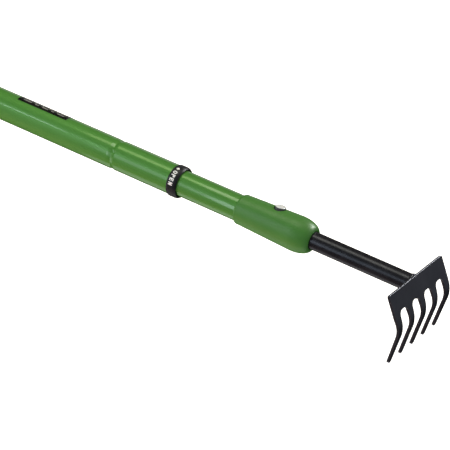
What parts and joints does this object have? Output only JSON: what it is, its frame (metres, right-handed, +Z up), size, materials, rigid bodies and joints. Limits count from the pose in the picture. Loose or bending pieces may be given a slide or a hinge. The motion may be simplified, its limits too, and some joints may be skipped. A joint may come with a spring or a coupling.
{
  "type": "telescopic hand cultivator",
  "caption": "Telescopic hand cultivator: tubular handle with twist lock, push-button socket and a bent steel head with tapered tines.",
  "frame": {"origin": "centre of the hang hole in the end cap", "axes": "+X along the handle towards the head, +Z up through the hang hole, tines pointing to -Z"},
  "size_m": [0.7625, 0.0794, 0.069],
  "materials": {
    "green_paint": "gloss powder coat",
    "green_plastic": "satin moulded",
    "black_plastic": "satin moulded",
    "natural_plastic": "moulded",
    "grip_rubber": "fine matt grain",
    "black_paint": "satin powder coat",
    "chrome": "polished",
    "steel": "zinc plated",
    "label_film": "printed film"
  },
  "bodies": {
    "handle": {"outer_tube": "green_paint", "grip": "grip_rubber", "end_cap": "black_plastic", "label_strip": "label_film", "lock_collar": "black_plastic", "guide_bush": "natural_plastic"},
    "lower_section": {"inner_tube": "green_paint", "plug_pin": "steel", "lock_plug": "black_plastic", "lock_stud": "steel", "end_nut": "steel", "end_cone": "natural_plastic", "socket_shell": "green_plastic", "socket_liner": "black_plastic", "socket_rivet": "steel", "button_spring": "steel", "shank": "black_paint", "weld_bead": "black_paint", "rake_head": "black_paint"},
    "expander": {"expander_sleeve": "black_plastic"},
    "cone_nut": {"cone_nut": "natural_plastic"},
    "release_button": {"push_button": "chrome", "snap_pin": "steel"}
  },
  "joints": [
    {"name": "telescope", "type": "slide", "parent": "handle", "child": "expander", "axis": [1, 0, 0], "range_m": [-0.05, 0.269]},
    {"name": "twist_lock", "type": "hinge", "parent": "expander", "child": "lower_section", "pos_m": [0.17, 0, 0], "axis": [-1, 0, 0], "range_deg": [0, 270]},
    {"name": "nut_travel", "type": "slide", "parent": "expander", "child": "cone_nut", "axis": [1, 0, 0], "range_m": [0, 0.0016]},
    {"name": "button_press", "type": "slide", "parent": "lower_section", "child": "release_button", "axis": [0, -0.225, -0.9744], "range_m": [0, 0.0022], "stiffness_N_per_m": 3000, "springref_m": -0.0015, "deforming": ["button_spring"]}
  ],
  "couplings": [
    {"joint": "nut_travel", "follows": "twist_lock", "m_per_rad": 0.00031831}
  ]
}
